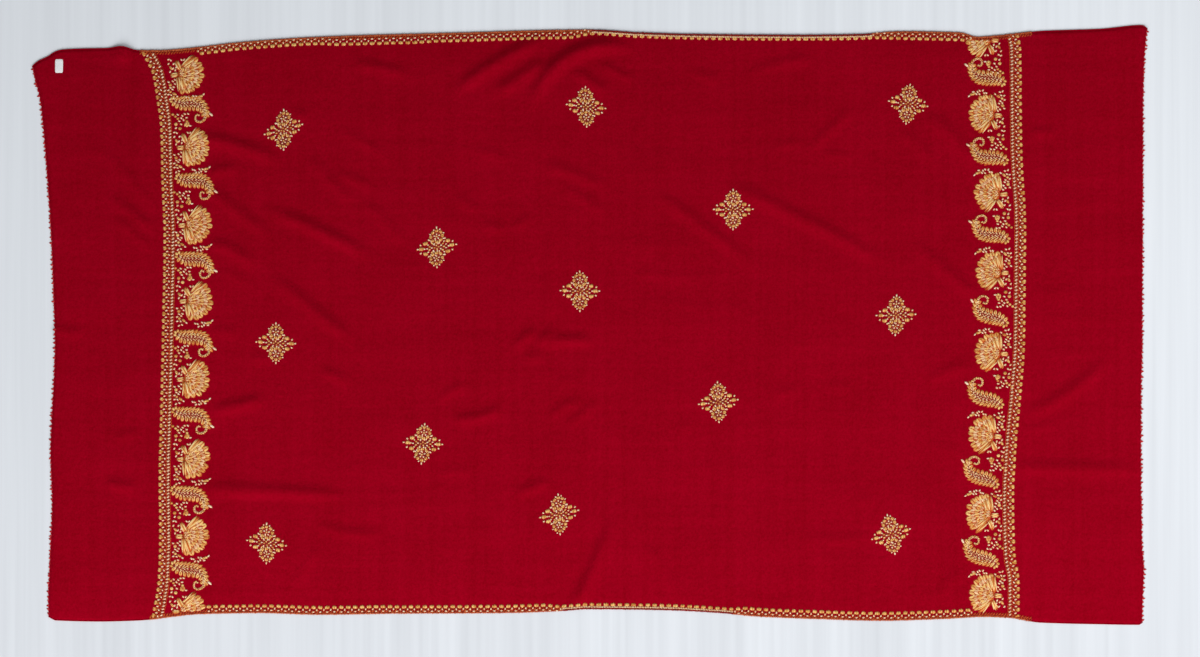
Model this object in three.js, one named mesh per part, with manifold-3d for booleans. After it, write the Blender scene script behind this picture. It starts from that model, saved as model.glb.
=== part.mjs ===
// Embroidered wool shawl laid flat: one wall of cloth with its creases standing up as hollow ridges,
// a rolled hem round it, embroidered borders across both ends, scattered sprigs and a blank label.
// Millimetres. +X runs along the shawl, +Y across it, +Z up, and the surface it lies on is Z = 0.
import * as THREE from "three";
import { mergeVertices } from "three/addons/utils/BufferGeometryUtils.js";
import Module from "manifold-3d";

const LENGTH = 2040; // between the furthest corners
const WIDTH = 1098; // between the long edges at the wider end
const CLOTH = 1.5; // thickness of the cloth wall
const THREAD = 1; // thickness of the embroidery
const SEAM_GAP = 0.3; // between pieces that are sewn together
const HEM_WIDTH = 3;
const HEM_HEIGHT = 2.6;
const EDGE_PITCH = 38; // between two corners of the faceted edge
const CORNER_STEPS = [HEM_WIDTH + SEAM_GAP, 13, 28, 50]; // closer steps round a corner
const CLOTH_PITCH = 78; // between two corners of the facets where the cloth is smooth
const FOLD_PITCH = 21; // between two corners along a crease
const LEAST_PITCH = 9; // no two corners of the facets are nearer than this
const WANDER = 4; // how far the loose corners stray, so that the facets don't line up
const TALL = 60; // height of a column that cuts a piece out of the embroidery's layer

const RED = { color: 0x860015, roughness: 0.85, metalness: 0 };
const EDGE_THREAD = { color: 0x9c3c1e, roughness: 0.7, metalness: 0 };
const GOLD = { color: 0xcd9a48, roughness: 0.5, metalness: 0 };
const PEACH = { color: 0xdba878, roughness: 0.55, metalness: 0 };
const CREAM = { color: 0xecd2c0, roughness: 0.6, metalness: 0 };
const WHITE = { color: 0xe9e6e4, roughness: 0.7, metalness: 0 };

// Turns rows of numbers into objects, one name for each column.
const table = (names, rows) =>
  rows.map((row) => Object.fromEntries(names.map((name, i) => [name, row[i]])));

// The four edges of the shawl as it lies.
const FAR_EDGE = table(["x", "y"], [
  [-1020, 474], [-1010, 483], [-991, 492], [-979, 500], [-966, 504], [-929, 506], [-882, 507], [-856, 510],
  [-827, 503], [-787, 502.5], [-732, 506.5], [-640, 517], [-530, 525], [-439, 529], [-256, 534], [0, 540],
  [92, 535], [202, 532], [385, 530.5], [494, 532], [568, 537], [677, 535], [709, 527], [751, 530],
  [824, 538], [934, 542], [1012, 549], [1020, 543],
]);
const NEAR_EDGE = table(["x", "y"], [
  [-990, -534.5], [-977, -541], [-896, -543], [-823, -541], [-759, -533.5], [-713, -529], [-604, -527],
  [-494, -530], [-347, -528], [-164, -527], [-55, -523.5], [-9, -520], [128, -521.5], [238, -527],
  [311, -533.5], [421, -538], [531, -541], [641, -538], [723, -534], [769, -536], [824, -545],
  [934, -548], [1005, -549], [1011, -545.5],
]);
const LEFT_END = table(["x", "y"], [
  [-990, -534.5], [-991, -503], [-988, -430], [-984, -320], [-987, -229], [-985, -174], [-979, -46],
  [-984, 128], [-991, 247], [-1000, 357], [-1006, 412], [-1014, 444], [-1020, 474],
]);
const RIGHT_END = table(["x", "y"], [
  [1011, -545.5], [1012, -503], [1014, -450], [1011, -403], [1009, -262], [1009, -137], [1011, -37],
  [1012, 247], [1013, 430], [1015, 485], [1020, 543],
]);

// The largest creases. Each is a ridge from one point to another, bowed to the left of its way, with
// its height at the middle and half of its width.
const FOLDS = table(["fromX", "fromY", "toX", "toY", "bow", "height", "spread"], [
  [-701, 342, -558, 296, 7, 7, 15],
  [-589, 207, -406, 121, 8, 8, 15],
  [-565, 64, -421, -42, 2, 7, 15],
  [-690, 247, -589, 170, 4, 5, 14],
  [-691, 155, -613, 104, 8, 4.5, 13],
  [-702, -161, -585, -132, -2, 5.5, 14],
  [-701, -300, -439, -315, 3, 7, 15],
  [-499, -364, -369, -375, -9, 3.5, 12],
  [-488, -84, -442, -108, 1, 3.5, 11],
  [-256, 410, -102, 492, 7, 6, 14],
  [-100, 397, 59, 503, 36, 8, 16],
  [-139, -46, -95, -8, 3, 5, 11],
  [-76, -31, 13, -33, 3, 6, 13],
  [-278, -174, -153, -147, -14, 5, 13],
  [-137, -313, -67, -286, 3, 4.5, 12],
  [-67, -178, 8, -136, 0, 3.5, 11],
  [-55, -503, 13, -357, -8, 6, 17],
  [141, 230, 315, 97, 3, 6, 15],
  [262, 254, 555, 97, 14, 8, 17],
  [407, 311, 471, 369, 0, 3.5, 12],
  [337, 324, 480, 315, 3, 3, 12],
  [590, 373, 699, 274, 8, 5, 18],
  [615, 137, 712, 60, 0, 5, 15],
  [610, -108, 699, -75, 6, 4.5, 13],
  [376, -386, 526, -381, -3, 3, 12],
  [795, -170, 946, -72, -14, 6.5, 16],
  [785, -267, 1003, -267, 0, 7, 15],
  [-860, 258, -790, 199, 0, 5, 12],
  [-878, 226, -792, 153, 0, 5, 12],
  [-863, 185, -794, 119, 0, 4, 12],
  [-889, -295, -825, -308, 0, 5, 12],
  [-856, 520, -852, 477, 0, 5, 22],
]);
const FOLD_END = 0.3; // share of a crease's length over which it rises at each end

// The outer row of discs of each border, which its other rows follow.
const LEFT_BORDER = table(["x", "y"], [
  [-801, -549], [-799, -534], [-793, -505], [-788, -470], [-785, -388], [-786, -291], [-782, -112],
  [-779, 31], [-777, 161], [-781, 265], [-783, 355], [-790, 415], [-799, 464], [-805, 476], [-816, 496],
  [-822, 512],
]);
const RIGHT_BORDER = table(["x", "y"], [
  [785, -552], [785, -469], [777, -417], [775, -317], [780, -216], [788, -132], [795, -28], [796, 64],
  [797, 181], [790, 322], [788, 505], [784, 529], [781, 548],
]);
// Offsets from the disc row towards the middle of the shawl.
const BORDER_ROWS = table(["name", "inner", "outer", "finish"], [
  ["disc_row", 3.6, -3.6, GOLD],
  ["seed_row", 12, 5, CREAM],
  ["braid_row", 19.8, 14.4, PEACH],
]);
const BORDER_PITCH = 42;

// Where each flower's stalk, and the middle of each paisley's body, lies. Those of the right end are
// turned half round.
const LEFT_FLOWERS = table(["x", "y"], [
  [-750, 461], [-739, 328], [-736, 186], [-734, 47], [-739, -96], [-739, -242], [-741, -383], [-747, -521],
]);
const RIGHT_FLOWERS = table(["x", "y"], [
  [733, 517], [739, 379], [749, 235], [751, 91], [750, -57], [738, -208], [733, -352], [739, -499],
]);
const LEFT_PAISLEYS = table(["x", "y"], [
  [-727, 405], [-718, 264], [-718, 120], [-720, -23], [-724, -164], [-727, -309], [-727, -448],
]);
const RIGHT_PAISLEYS = table(["x", "y"], [
  [721, 452], [725, 307], [732, 161], [731, 12], [721, -137], [714, -282], [714, -428],
]);
const FLOWER = { reach: 42, scallop: 3, petals: 12, from: -88, to: 52 }; // a fan, in degrees
const CALYX = table(["x", "y"], [[-2, -6], [-11, -5], [-18, 0], [-11, 4], [-1, 3]]);
const UPPER_LEAF = table(["x", "y"], [[-1, 12], [-7, 25], [3, 20], [7, 18]]);
// The line through a paisley from its tip to the end of its curl, and half of its width there.
const PAISLEY = table(["x", "y", "half"], [
  [-36, 7, 1], [-26, 2, 9], [-15, 0, 13], [0, 0, 13.7], [12, -1, 13], [22, -7, 10], [28.5, -16, 6],
  [29, -25, 3], [22.5, -30.5, 2.2], [15, -31, 2.2], [10.5, -26, 2.2], [13, -20, 1.6],
]);

// The sprigs over the field. The cloth is pulled a little askew, so their side arms and their upright
// arms are turned by different degrees.
const SPRIGS = table(["x", "y", "sideTurn", "uprightTurn"], [
  [-560, 357, 15, 0], [-7, 399, -6, 2], [582, 404, -8, -6], [262, 211, 0, 0], [-280, 142, 8, 0],
  [-18, 62, -1, 0], [560, 18, 2, -2], [-574, -33, -3, 0], [235, -141, 7, 2], [-305, -217, -3, -5],
  [-56, -346, 11, 3], [551, -383, 15, 11], [-591, -399, -8, 0],
]);
const SPRIG = { reach: 27.5, lobe: 8.5, taller: 1.5, corners: 24 };

// Rows of discs along the long edges.
const HEM_DISCS = { inset: 11, half: 3.6, farFrom: -718, farTo: 686, nearFrom: -700, nearTo: 690 };
const LABEL = { x: -970.5, y: 473.5, halfWidth: 7.5, halfHeight: 13, round: 3 };

const { lerp, smoothstep, degToRad } = THREE.MathUtils;
const first = (rows) => rows[0];
const last = (rows) => rows[rows.length - 1];

// Smooth curve through a table: a cubic between two rows, whose slope at a row is the harmonic mean
// of the slopes on both sides of it, or 0 at a peak.
function curveThrough(rows, from, to) {
  const xs = rows.map((row) => row[from]);
  const ys = rows.map((row) => row[to]);
  const chords = xs.slice(1).map((x, i) => (ys[i + 1] - ys[i]) / (x - xs[i]));
  const slopes = xs.map((_, i) => {
    const before = chords[Math.max(i - 1, 0)];
    const after = chords[Math.min(i, chords.length - 1)];
    return before * after <= 0 ? 0 : (2 * before * after) / (before + after);
  });
  return (x) => {
    let i = 0;
    while (i < xs.length - 2 && x > xs[i + 1]) i += 1;
    const step = xs[i + 1] - xs[i];
    const t = Math.min(Math.max((x - xs[i]) / step, 0), 1);
    const rise = t * t * (3 - 2 * t);
    const bend = slopes[i] * t * (1 - t) ** 2 - slopes[i + 1] * t * t * (1 - t);
    return lerp(ys[i], ys[i + 1], rise) + step * bend;
  };
}

const farEdge = curveThrough(FAR_EDGE, "x", "y");
const nearEdge = curveThrough(NEAR_EDGE, "x", "y");
const leftEnd = curveThrough(LEFT_END, "y", "x");
const rightEnd = curveThrough(RIGHT_END, "y", "x");

// Maps a plain rectangle, u along and v across, to the outline as it lies.
function place(u, v) {
  const along = u / LENGTH;
  const across = v / WIDTH;
  const far = farEdge(lerp(first(FAR_EDGE).x, last(FAR_EDGE).x, along));
  const near = nearEdge(lerp(first(NEAR_EDGE).x, last(NEAR_EDGE).x, along));
  const left = leftEnd(lerp(first(LEFT_END).y, last(LEFT_END).y, across));
  const right = rightEnd(lerp(first(RIGHT_END).y, last(RIGHT_END).y, across));
  return { x: lerp(left, right, along), y: lerp(near, far, across) };
}

// The point of the plain rectangle that lies at x, y.
function unplace(x, y) {
  let u = x + LENGTH / 2;
  let v = y + WIDTH / 2;
  for (let i = 0; i < 8; i += 1) {
    const reached = place(u, v);
    u += x - reached.x;
    v += y - reached.y;
  }
  return { u, v };
}

// A point of a crease: a share of its way along it, and a distance to its left.
function foldPoint(fold, share, aside) {
  const dx = fold.toX - fold.fromX;
  const dy = fold.toY - fold.fromY;
  const length = Math.hypot(dx, dy);
  const away = aside + 4 * fold.bow * share * (1 - share);
  return {
    x: fold.fromX + dx * share - (dy / length) * away,
    y: fold.fromY + dy * share + (dx / length) * away,
  };
}

// Height of the cloth above the surface: each crease is a bell across its line that fades at its ends.
function lift(x, y) {
  return FOLDS.reduce((sum, fold) => {
    const dx = fold.toX - fold.fromX;
    const dy = fold.toY - fold.fromY;
    const length = Math.hypot(dx, dy);
    const share = ((x - fold.fromX) * dx + (y - fold.fromY) * dy) / length ** 2;
    if (share <= 0 || share >= 1) return sum;
    const aside = ((y - fold.fromY) * dx - (x - fold.fromX) * dy) / length;
    const distance = Math.abs(aside - 4 * fold.bow * share * (1 - share)) / fold.spread;
    if (distance >= 1) return sum;
    const ends = smoothstep(Math.min(share, 1 - share), 0, FOLD_END);
    return sum + fold.height * ends * (0.5 + 0.5 * Math.cos(Math.PI * distance));
  }, 0);
}

// Steps along an edge of the plain rectangle, closer together at its two corners.
function edgeSteps(length) {
  const corner = last(CORNER_STEPS);
  const count = Math.round((length - 2 * corner) / EDGE_PITCH);
  const middle = Array.from({ length: count - 1 }, (_, i) => lerp(corner, length - corner, (i + 1) / count));
  return [...CORNER_STEPS, ...middle, ...CORNER_STEPS.map((step) => length - step).reverse()];
}

// Corners of the cloth's facets: its edge, then lines along the crest and both feet of each crease,
// then a loose lattice over the rest.
function clothPoints() {
  const points = [];
  const add = (u, v, clearance) => {
    if (points.some((other) => Math.hypot(other.u - u, other.v - v) < clearance)) return;
    const { x, y } = place(u, v);
    points.push({ u, v, x, y, z: lift(x, y) });
  };
  const inset = first(CORNER_STEPS);
  edgeSteps(LENGTH).forEach((u) => [inset, WIDTH - inset].forEach((v) => add(u, v, 1)));
  edgeSteps(WIDTH).slice(1, -1).forEach((v) => [inset, LENGTH - inset].forEach((u) => add(u, v, 1)));
  const inside = (u, v, margin) =>
    Math.min(u, LENGTH - u, v, WIDTH - v) > inset + margin;
  FOLDS.forEach((fold) => {
    const length = Math.hypot(fold.toX - fold.fromX, fold.toY - fold.fromY);
    const count = Math.max(3, Math.round(length / FOLD_PITCH));
    for (let i = 0; i <= 2 * count; i += 1) {
      const sides = i % 2 ? [-fold.spread, fold.spread] : [0];
      sides.forEach((aside) => {
        const { x, y } = foldPoint(fold, i / (2 * count), aside);
        const { u, v } = unplace(x, y);
        if (inside(u, v, LEAST_PITCH)) add(u, v, LEAST_PITCH);
      });
    }
  });
  const rows = Math.round(WIDTH / (CLOTH_PITCH * Math.sin(Math.PI / 3)));
  const columns = Math.round(LENGTH / CLOTH_PITCH);
  for (let row = 1; row < rows; row += 1) {
    for (let column = 0; column < columns; column += 1) {
      const stray = WANDER * Math.sin(row * 7 + column);
      const u = ((column + 0.25 + 0.5 * (row % 2)) * LENGTH) / columns + stray;
      const v = (row * WIDTH) / rows - stray;
      if (inside(u, v, CLOTH_PITCH / 4)) add(u, v, CLOTH_PITCH / 3);
    }
  }
  return points;
}

// The circle round three points, as its middle and the square of its radius.
function circleRound(a, b, c) {
  const twice = 2 * (a.u * (b.v - c.v) + b.u * (c.v - a.v) + c.u * (a.v - b.v));
  const [sa, sb, sc] = [a, b, c].map((p) => p.u ** 2 + p.v ** 2);
  const u = (sa * (b.v - c.v) + sb * (c.v - a.v) + sc * (a.v - b.v)) / twice;
  const v = (sa * (c.u - b.u) + sb * (a.u - c.u) + sc * (b.u - a.u)) / twice;
  return { u, v, square: (a.u - u) ** 2 + (a.v - v) ** 2 };
}

// Joins points of the plain rectangle by Delaunay triangles: each point in turn clears the triangles
// whose circle holds it, and is joined to the rim of the hole that they leave.
function triangulate(points) {
  const away = 1e5;
  const all = [...points, { u: -away, v: -away }, { u: away, v: -away }, { u: 0, v: away }];
  const made = (corners) => ({ corners, circle: circleRound(...corners.map((i) => all[i])) });
  let triangles = [made([points.length, points.length + 1, points.length + 2])];
  points.forEach((point, index) => {
    const rim = new Map();
    triangles = triangles.filter(({ corners, circle }) => {
      if ((point.u - circle.u) ** 2 + (point.v - circle.v) ** 2 >= circle.square) return true;
      corners.forEach((a, k) => {
        const b = corners[(k + 1) % 3];
        if (!rim.delete(`${b} ${a}`)) rim.set(`${a} ${b}`, [a, b]);
      });
      return false;
    });
    rim.forEach(([a, b]) => triangles.push(made([a, b, index])));
  });
  return triangles.map(({ corners }) => corners).filter((corners) => corners.every((i) => i < points.length));
}

// Closed mesh from corners and triangles, its faces turned to point out.
function closedMesh(corners, triangles) {
  const volume = triangles.reduce((sum, [a, b, c]) => {
    const [p, q, r] = [a, b, c].map((i) => corners[i]);
    return sum + p.dot(new THREE.Vector3().crossVectors(q, r));
  }, 0);
  const facing = volume > 0 ? triangles : triangles.map(([a, b, c]) => [a, c, b]);
  const geometry = new THREE.BufferGeometry().setFromPoints(corners);
  geometry.setIndex(facing.flat());
  geometry.computeVertexNormals();
  return geometry;
}

// A layer of the laid cloth between two heights above its underside: both faces follow the creases.
function layer(points, triangles, bottom, top) {
  const corners = [bottom, top].flatMap((height) =>
    points.map((p) => new THREE.Vector3(p.x, p.y, p.z + height)),
  );
  const rim = new Map();
  triangles.forEach((corner) =>
    corner.forEach((a, k) => {
      const b = corner[(k + 1) % 3];
      if (!rim.delete(`${b} ${a}`)) rim.set(`${a} ${b}`, [a, b]);
    }),
  );
  const up = points.length;
  const faces = [
    ...triangles.map(([a, b, c]) => [a + up, b + up, c + up]),
    ...triangles.map(([a, b, c]) => [a, c, b]),
    ...[...rim.values()].flatMap(([a, b]) => [[a, b, b + up], [a, b + up, a + up]]),
  ];
  return closedMesh(corners, faces);
}

// A rolled hem: its section, as insets from the edge and heights, carried along one edge.
function hem(steps, at) {
  const section = table(["inset", "height"], [
    [HEM_WIDTH, 0], [0.5, 0], [0, HEM_HEIGHT / 2], [1, HEM_HEIGHT], [HEM_WIDTH, HEM_HEIGHT - 0.5],
  ]);
  const corners = steps.flatMap((step) =>
    section.map(({ inset, height }) => {
      const { x, y } = at(step, inset);
      return new THREE.Vector3(x, y, lift(x, y) + height);
    }),
  );
  const n = section.length;
  const faces = [];
  for (let i = 0; i < steps.length - 1; i += 1) {
    for (let k = 0; k < n; k += 1) {
      const [a, b] = [i * n + k, i * n + ((k + 1) % n)];
      faces.push([a, b, b + n], [a, b + n, a + n]);
    }
  }
  const end = (steps.length - 1) * n;
  for (let k = 1; k < n - 1; k += 1) faces.push([0, k + 1, k], [end, end + k, end + k + 1]);
  return closedMesh(corners, faces);
}

const wasm = await Module();
wasm.setup();

function solidOf(geometry) {
  const bare = geometry.clone();
  bare.deleteAttribute("normal");
  bare.deleteAttribute("uv");
  const merged = mergeVertices(bare, 1e-4);
  return new wasm.Manifold(
    new wasm.Mesh({
      numProp: 3,
      vertProperties: merged.attributes.position.array,
      triVerts: new Uint32Array(merged.index.array),
    }),
  );
}

function geometryOf(solid) {
  const mesh = solid.getMesh();
  const geometry = new THREE.BufferGeometry();
  geometry.setAttribute("position", new THREE.BufferAttribute(new Float32Array(mesh.vertProperties), 3));
  geometry.setIndex(new THREE.BufferAttribute(new Uint32Array(mesh.triVerts), 1));
  geometry.computeVertexNormals();
  return geometry;
}

const points = clothPoints();
const triangles = triangulate(points);
const threadLayer = solidOf(layer(points, triangles, CLOTH + SEAM_GAP, CLOTH + SEAM_GAP + THREAD));

// What lies on the cloth: the part of the layer just above it that is inside an outline.
function onCloth(outline) {
  const column = new THREE.ExtrudeGeometry(new THREE.Shape(outline), { depth: TALL, bevelEnabled: false });
  return geometryOf(threadLayer.intersect(solidOf(column.translate(0, 0, -TALL / 2))));
}

// Moves an outline to its place: its own x runs along one direction and its y across another, which
// is square to the first unless it is pulled askew.
function placed(outline, { x, y }, sideTurn, uprightTurn = sideTurn) {
  const [side, upright] = [degToRad(sideTurn), degToRad(uprightTurn)];
  return outline.map((p) => ({
    x: x + p.x * Math.cos(side) - p.y * Math.sin(upright),
    y: y + p.x * Math.sin(side) + p.y * Math.cos(upright),
  }));
}

// A flower seen from the side: a fan of petals whose rim is scalloped, a calyx and an upper leaf.
function flowerOutline() {
  const fan = Array.from({ length: 2 * FLOWER.petals + 1 }, (_, i) => {
    const angle = degToRad(lerp(FLOWER.from, FLOWER.to, i / (2 * FLOWER.petals)));
    const reach = FLOWER.reach + (i % 2 ? FLOWER.scallop : -FLOWER.scallop) / 2;
    return { x: reach * Math.cos(angle), y: reach * Math.sin(angle) };
  });
  return [...fan, ...[...UPPER_LEAF].reverse(), ...[...CALYX].reverse()];
}

// A paisley: both sides of its middle line, half a width away.
function paisleyOutline() {
  const side = (sign) =>
    PAISLEY.map((row, i) => {
      const before = PAISLEY[Math.max(i - 1, 0)];
      const after = PAISLEY[Math.min(i + 1, PAISLEY.length - 1)];
      const length = Math.hypot(after.x - before.x, after.y - before.y);
      return {
        x: row.x - (sign * row.half * (after.y - before.y)) / length,
        y: row.y + (sign * row.half * (after.x - before.x)) / length,
      };
    });
  return [...side(1), ...side(-1).reverse()];
}

// A sprig: a cross of four lobes, as a radius that swells four times round.
function sprigOutline() {
  return Array.from({ length: SPRIG.corners }, (_, i) => {
    const angle = (2 * Math.PI * i) / SPRIG.corners;
    const reach = SPRIG.reach + SPRIG.lobe * Math.cos(4 * angle) - SPRIG.taller * Math.cos(2 * angle);
    return { x: reach * Math.cos(angle), y: reach * Math.sin(angle) };
  });
}

// A strip along a border's disc row, between two offsets towards the middle of the shawl.
function borderStrip(rows, inward, inner, outer) {
  const column = curveThrough(rows, "y", "x");
  const count = Math.round((last(rows).y - first(rows).y) / BORDER_PITCH);
  const side = (offset) =>
    Array.from({ length: count + 1 }, (_, i) => {
      const y = lerp(first(rows).y, last(rows).y, i / count);
      return { x: column(y) + inward * offset, y };
    });
  return [...side(inner), ...side(outer).reverse()];
}

// A strip along a long edge, set in from it.
function hemStrip(edge, inward, from, to) {
  const count = Math.round((to - from) / EDGE_PITCH);
  const side = (inset) =>
    Array.from({ length: count + 1 }, (_, i) => {
      const x = lerp(from, to, i / count);
      return { x, y: edge(x) + inward * inset };
    });
  return [...side(HEM_DISCS.inset + HEM_DISCS.half), ...side(HEM_DISCS.inset - HEM_DISCS.half).reverse()];
}

// The label: a rectangle with one more cut at each corner to round it.
function labelOutline() {
  const { halfWidth, halfHeight, round } = LABEL;
  const corner = (sx, sy) => [
    { x: sx * halfWidth, y: sy * (halfHeight - round) },
    { x: sx * (halfWidth - round), y: sy * halfHeight },
  ];
  return [...corner(1, -1).reverse(), ...corner(1, 1), ...corner(-1, 1).reverse(), ...corner(-1, -1)];
}

const shawl = new THREE.Group();
function add(name, geometry, finish) {
  const mesh = new THREE.Mesh(geometry, new THREE.MeshStandardMaterial(finish));
  mesh.name = name;
  shawl.add(mesh);
}

add("shawl_cloth", layer(points, triangles, 0, CLOTH), RED);
const longSteps = [0, ...edgeSteps(LENGTH), LENGTH];
const endSteps = edgeSteps(WIDTH);
add("hem_far", hem(longSteps, (step, inset) => place(step, WIDTH - inset)), EDGE_THREAD);
add("hem_near", hem(longSteps, (step, inset) => place(step, inset)), EDGE_THREAD);
add("hem_left_end", hem(endSteps, (step, inset) => place(inset, step)), RED);
add("hem_right_end", hem(endSteps, (step, inset) => place(LENGTH - inset, step)), RED);

for (const { name, inner, outer, finish } of BORDER_ROWS) {
  add(`${name}_left`, onCloth(borderStrip(LEFT_BORDER, 1, inner, outer)), finish);
  add(`${name}_right`, onCloth(borderStrip(RIGHT_BORDER, -1, inner, outer)), finish);
}
add("disc_row_far", onCloth(hemStrip(farEdge, -1, HEM_DISCS.farFrom, HEM_DISCS.farTo)), GOLD);
add("disc_row_near", onCloth(hemStrip(nearEdge, 1, HEM_DISCS.nearFrom, HEM_DISCS.nearTo)), GOLD);

const addEach = (name, spots, outline, turn, finish) =>
  spots.forEach((spot, i) => add(`${name}_${i + 1}`, onCloth(placed(outline, spot, turn)), finish));
addEach("flower_left", LEFT_FLOWERS, flowerOutline(), 0, PEACH);
addEach("flower_right", RIGHT_FLOWERS, flowerOutline(), 180, PEACH);
addEach("paisley_left", LEFT_PAISLEYS, paisleyOutline(), 0, PEACH);
addEach("paisley_right", RIGHT_PAISLEYS, paisleyOutline(), 180, PEACH);
SPRIGS.forEach((spot, i) => {
  const outline = placed(sprigOutline(), spot, spot.sideTurn, spot.uprightTurn);
  add(`sprig_${i + 1}`, onCloth(outline), GOLD);
});
add("corner_label", onCloth(placed(labelOutline(), LABEL, 0)), WHITE);

export default shawl;
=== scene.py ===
"""An embroidered red wool shawl, laid flat on a pale table and seen from straight above.

Lengths are in millimetres up to the point where a mesh is made. +X runs along the shawl, +Y across
it, and the table is Z = 0. The cloth is one thin sheet with its creases, and the work on it is made of
single stitches, each a low dome that follows the cloth, some of them over low padding.
"""
import math

import bpy
import numpy as np
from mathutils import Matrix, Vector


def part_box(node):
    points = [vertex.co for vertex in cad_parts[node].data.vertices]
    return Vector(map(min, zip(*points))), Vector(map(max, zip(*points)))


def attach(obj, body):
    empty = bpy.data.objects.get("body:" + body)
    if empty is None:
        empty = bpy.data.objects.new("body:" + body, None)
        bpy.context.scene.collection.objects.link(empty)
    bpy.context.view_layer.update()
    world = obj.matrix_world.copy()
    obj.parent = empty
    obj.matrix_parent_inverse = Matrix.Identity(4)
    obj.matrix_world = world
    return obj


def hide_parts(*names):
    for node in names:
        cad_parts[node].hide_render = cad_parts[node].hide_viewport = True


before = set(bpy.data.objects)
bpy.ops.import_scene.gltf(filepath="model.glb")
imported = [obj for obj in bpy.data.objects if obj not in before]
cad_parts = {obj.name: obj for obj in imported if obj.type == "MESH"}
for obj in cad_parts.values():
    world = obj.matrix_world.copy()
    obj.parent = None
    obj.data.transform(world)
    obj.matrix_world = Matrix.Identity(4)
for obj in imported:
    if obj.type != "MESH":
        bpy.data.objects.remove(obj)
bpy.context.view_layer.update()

MM = 0.001  # metres in a millimetre
LENGTH = 2040  # between the furthest corners
WIDTH = 1098  # between the long edges at the wider end
CLOTH = 1.5  # thickness of the cloth
VIEW_WIDTH = 2196  # what the picture shows of the table, from side to side
VIEW_MIDDLE = (18.7, -6.6)
LENS, SENSOR = 50, 36
rng = np.random.default_rng(7)
join = np.concatenate  # rows, points or faces, end to end

# Camera and light.


def srgb(red, green, blue):
    """A colour given as it shows on a screen, 0 to 255, as the linear one that a shader needs."""
    share = np.array([red, green, blue]) / 255
    linear = np.where(share <= 0.04045, share / 12.92, ((share + 0.055) / 1.055) ** 2.4)
    return (*linear, 1.0)


camera = bpy.data.objects.new("camera", bpy.data.cameras.new("camera"))
camera.data.lens = LENS
camera.data.sensor_width = SENSOR
camera.location = (VIEW_MIDDLE[0] * MM, VIEW_MIDDLE[1] * MM, VIEW_WIDTH * MM * LENS / SENSOR)
bpy.context.collection.objects.link(camera)
scene = bpy.context.scene
scene.camera = camera
scene.view_settings.view_transform = "Standard"


def soft_light(name, place, size, power):
    """A square light that faces the middle of the shawl."""
    light = bpy.data.lights.new(name, "AREA")
    light.size = size
    light.energy = power
    lamp = bpy.data.objects.new(name, light)
    lamp.location = place
    x, y, z = place
    lamp.rotation_euler = (math.atan2(math.hypot(x, y), z), 0, math.atan2(x, -y))
    bpy.context.collection.objects.link(lamp)


soft_light("window_light", (-1.0, -2.6, 2.1), 2.6, 108)
soft_light("side_light", (2.5, -0.9, 2.0), 2.0, 56)
world = bpy.data.worlds.new("room")
world.use_nodes = True
world.node_tree.nodes["Background"].inputs["Color"].default_value = (0.94, 0.97, 1, 1)
world.node_tree.nodes["Background"].inputs["Strength"].default_value = 0.3
scene.world = world

# Tables of places and sizes.


def table(names, *rows):
    """Rows of numbers as arrays, one for each named column."""
    return dict(zip(names.split(), np.array(rows, float).T))


def stack(*columns):
    """Arrays side by side, along a new last axis."""
    return np.stack(columns, axis=-1)


FAR_EDGE = table("x y", (-1020, 474), (-1010, 483), (-991, 492), (-979, 500), (-966, 504), (-929, 506),
                 (-882, 507), (-856, 510), (-827, 503), (-787, 502.5), (-732, 506.5), (-640, 517),
                 (-530, 525), (-439, 529), (-256, 534), (0, 540), (92, 535), (202, 532), (385, 530.5),
                 (494, 532), (568, 537), (677, 535), (709, 527), (751, 530), (824, 538), (934, 542),
                 (1012, 549), (1020, 543))
NEAR_EDGE = table("x y", (-990, -534.5), (-977, -541), (-896, -543), (-823, -541), (-759, -533.5),
                  (-713, -529), (-604, -527), (-494, -530), (-347, -528), (-164, -527), (-55, -523.5),
                  (-9, -520), (128, -521.5), (238, -527), (311, -533.5), (421, -538), (531, -541),
                  (641, -538), (723, -534), (769, -536), (824, -545), (934, -548), (1005, -549),
                  (1011, -545.5))
LEFT_END = table("x y", (-990, -534.5), (-991, -503), (-988, -430), (-984, -320), (-987, -229),
                 (-985, -174), (-979, -46), (-984, 128), (-991, 247), (-1000, 357), (-1006, 412),
                 (-1014, 444), (-1020, 474))
RIGHT_END = table("x y", (1011, -545.5), (1012, -503), (1014, -450), (1011, -403), (1009, -262),
                  (1009, -137), (1011, -37), (1012, 247), (1013, 430), (1015, 485), (1020, 543))

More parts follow.
